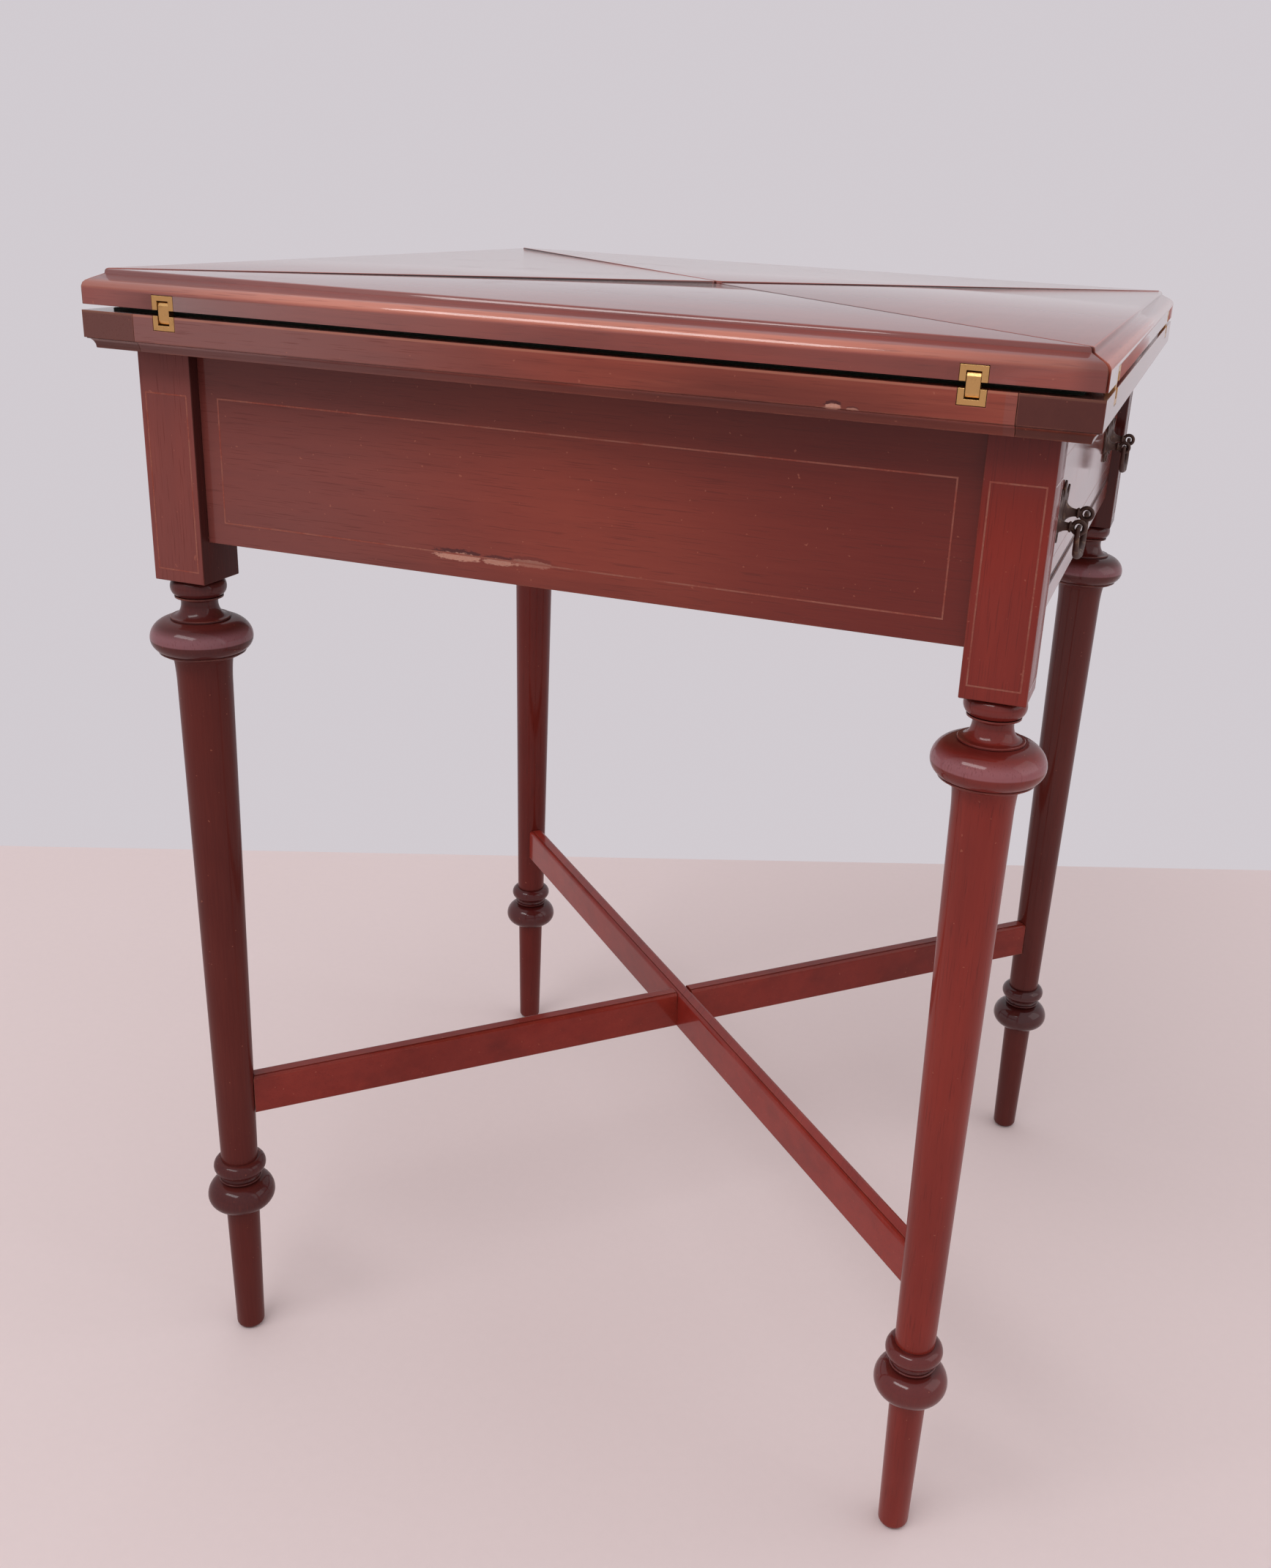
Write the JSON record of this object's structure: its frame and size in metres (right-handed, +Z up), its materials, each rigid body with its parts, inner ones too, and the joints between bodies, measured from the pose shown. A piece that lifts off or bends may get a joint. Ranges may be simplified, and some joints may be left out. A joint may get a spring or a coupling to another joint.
{
  "type": "envelope card table",
  "caption": "Small square games table on turned legs whose top folds out in four triangles, with a drawer and crossed stretcher.",
  "frame": {"origin": "on the floor under the centre of the table", "axes": "+Z up, +X out of the drawer side, -Y out of the long plain apron that faces the viewer"},
  "size_m": [0.564, 0.564, 0.75],
  "materials": {
    "mahogany": "worn french polish",
    "drawer_wood": "plain planed",
    "inside_wood": "rough planed",
    "baize": "felted wool",
    "bright_brass": "rubbed bright",
    "aged_bronze": "dark aged",
    "black_iron": "blackened"
  },
  "bodies": {
    "stand": {"leg_front_left": "mahogany", "leg_front_right": "mahogany", "leg_back_left": "mahogany", "leg_back_right": "mahogany", "apron_front": "mahogany", "apron_back": "mahogany", "apron_left": "mahogany", "drawer_rail_lower": "mahogany", "drawer_rail_upper": "mahogany", "drawer_channel_near": "inside_wood", "drawer_channel_far": "inside_wood", "pivot_bearer": "inside_wood", "stretcher_rail_under": "mahogany", "stretcher_rail_over": "mahogany"},
    "top": {"base_panel": "mahogany", "base_clamp_left": "mahogany", "base_clamp_right": "mahogany", "base_lining": "baize", "pivot_stud": "black_iron", "hinge_board_plate_front_a": "bright_brass", "hinge_board_plate_front_b": "bright_brass", "hinge_board_plate_right_a": "bright_brass", "hinge_board_plate_right_b": "bright_brass", "hinge_board_plate_back_a": "bright_brass", "hinge_board_plate_back_b": "bright_brass", "hinge_board_plate_left_a": "bright_brass", "hinge_board_plate_left_b": "bright_brass"},
    "links_front": {"hinge_link_front_a": "bright_brass", "hinge_link_front_b": "bright_brass"},
    "flap_front": {"flap_front": "mahogany", "flap_lining_front": "baize", "hinge_flap_plate_front_a": "bright_brass", "hinge_flap_plate_front_b": "bright_brass"},
    "links_right": {"hinge_link_right_a": "bright_brass", "hinge_link_right_b": "bright_brass"},
    "flap_right": {"flap_right": "mahogany", "flap_lining_right": "baize", "hinge_flap_plate_right_a": "bright_brass", "hinge_flap_plate_right_b": "bright_brass"},
    "links_back": {"hinge_link_back_a": "bright_brass", "hinge_link_back_b": "bright_brass"},
    "flap_back": {"flap_back": "mahogany", "flap_lining_back": "baize", "hinge_flap_plate_back_a": "bright_brass", "hinge_flap_plate_back_b": "bright_brass"},
    "links_left": {"hinge_link_left_a": "bright_brass", "hinge_link_left_b": "bright_brass"},
    "flap_left": {"flap_left": "mahogany", "flap_lining_left": "baize", "hinge_flap_plate_left_a": "bright_brass", "hinge_flap_plate_left_b": "bright_brass"},
    "drawer": {"drawer_front": "mahogany", "drawer_side_near": "drawer_wood", "drawer_side_far": "drawer_wood", "drawer_back": "drawer_wood", "drawer_bottom": "drawer_wood", "handle_plate_near": "aged_bronze", "handle_plate_far": "aged_bronze"},
    "bail_near": {"handle_bail_near": "aged_bronze"},
    "bail_far": {"handle_bail_far": "aged_bronze"}
  },
  "joints": [
    {"name": "top_turn", "type": "hinge", "parent": "stand", "child": "top", "pos_m": [0, 0, 0.7064], "axis": [0, 0, 1], "range_deg": [0, 45]},
    {"name": "link_fold_front", "type": "hinge", "parent": "top", "child": "links_front", "pos_m": [0, -0.2791, 0.725], "axis": [1, 0, 0], "range_deg": [0, 90]},
    {"name": "flap_fold_front", "type": "hinge", "parent": "links_front", "child": "flap_front", "pos_m": [0, -0.2791, 0.733], "axis": [1, 0, 0], "range_deg": [0, 90]},
    {"name": "link_fold_right", "type": "hinge", "parent": "top", "child": "links_right", "pos_m": [0.2791, 0, 0.725], "axis": [0, 1, 0], "range_deg": [0, 90]},
    {"name": "flap_fold_right", "type": "hinge", "parent": "links_right", "child": "flap_right", "pos_m": [0.2791, 0, 0.733], "axis": [0, 1, 0], "range_deg": [0, 90]},
    {"name": "link_fold_back", "type": "hinge", "parent": "top", "child": "links_back", "pos_m": [0, 0.2791, 0.725], "axis": [-1, 0, 0], "range_deg": [0, 90]},
    {"name": "flap_fold_back", "type": "hinge", "parent": "links_back", "child": "flap_back", "pos_m": [0, 0.2791, 0.733], "axis": [-1, 0, 0], "range_deg": [0, 90]},
    {"name": "link_fold_left", "type": "hinge", "parent": "top", "child": "links_left", "pos_m": [-0.2791, 0, 0.725], "axis": [0, -1, 0], "range_deg": [0, 90]},
    {"name": "flap_fold_left", "type": "hinge", "parent": "links_left", "child": "flap_left", "pos_m": [-0.2791, 0, 0.733], "axis": [0, -1, 0], "range_deg": [0, 90]},
    {"name": "drawer_slide", "type": "slide", "parent": "stand", "child": "drawer", "axis": [1, 0, 0], "range_m": [0, 0.32]},
    {"name": "bail_swing_near", "type": "hinge", "parent": "drawer", "child": "bail_near", "pos_m": [0.2693, -0.156, 0.648], "axis": [0, -1, 0], "range_deg": [-25, 95]},
    {"name": "bail_swing_far", "type": "hinge", "parent": "drawer", "child": "bail_far", "pos_m": [0.2693, 0.156, 0.648], "axis": [0, -1, 0], "range_deg": [-25, 95]}
  ],
  "couplings": [
    {"joint": "link_fold_front", "follows": "flap_fold_front", "ratio": 1},
    {"joint": "link_fold_right", "follows": "flap_fold_right", "ratio": 1},
    {"joint": "link_fold_back", "follows": "flap_fold_back", "ratio": 1},
    {"joint": "link_fold_left", "follows": "flap_fold_left", "ratio": 1}
  ]
}
